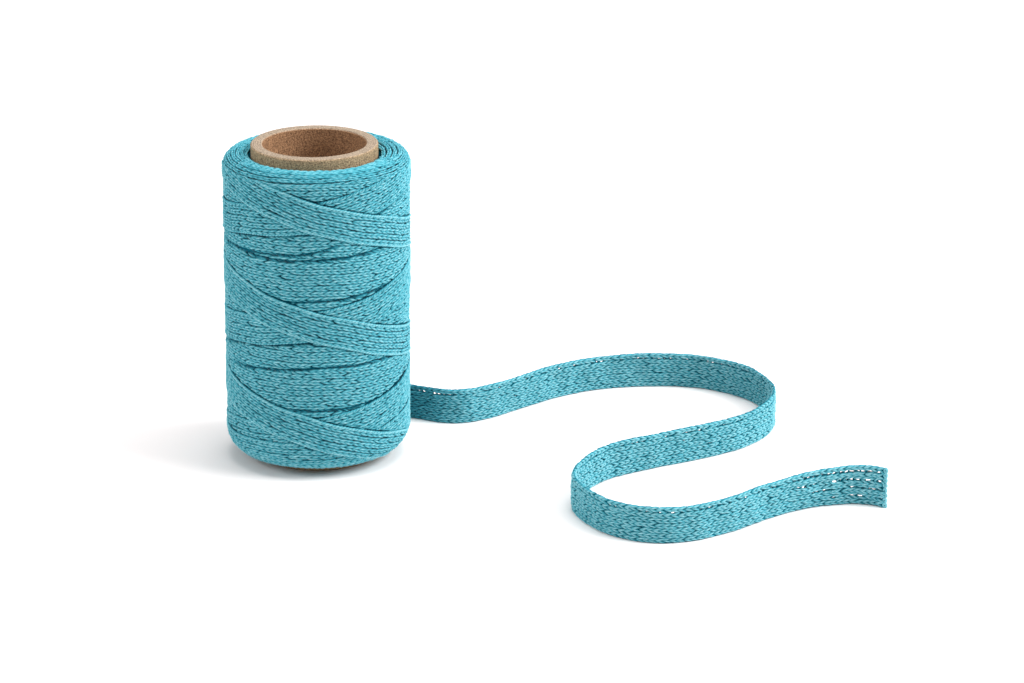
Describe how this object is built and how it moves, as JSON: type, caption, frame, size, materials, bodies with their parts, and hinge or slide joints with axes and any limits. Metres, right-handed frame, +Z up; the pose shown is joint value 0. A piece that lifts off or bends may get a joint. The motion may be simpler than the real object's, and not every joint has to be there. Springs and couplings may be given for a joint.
{
  "type": "roll of cotton ribbon",
  "caption": "Roll of narrow knitted cotton ribbon wound criss-cross on a cardboard core, with its free end run out on edge in an S.",
  "frame": {"origin": "centre of the footprint of the roll and its loose end, at the level of the surface they rest on", "axes": "+Z up along the roll's axis, +X from the roll towards the cut end of the loose end, +Y away from the side seen in the picture"},
  "size_m": [0.1834, 0.1268, 0.0907],
  "materials": {
    "cotton": "matt knitted cotton",
    "kraft_board": "matt"
  },
  "bodies": {
    "root": {"core_tube": "kraft_board", "wound_ribbon": "cotton", "loose_end": "cotton"}
  },
  "joints": []
}
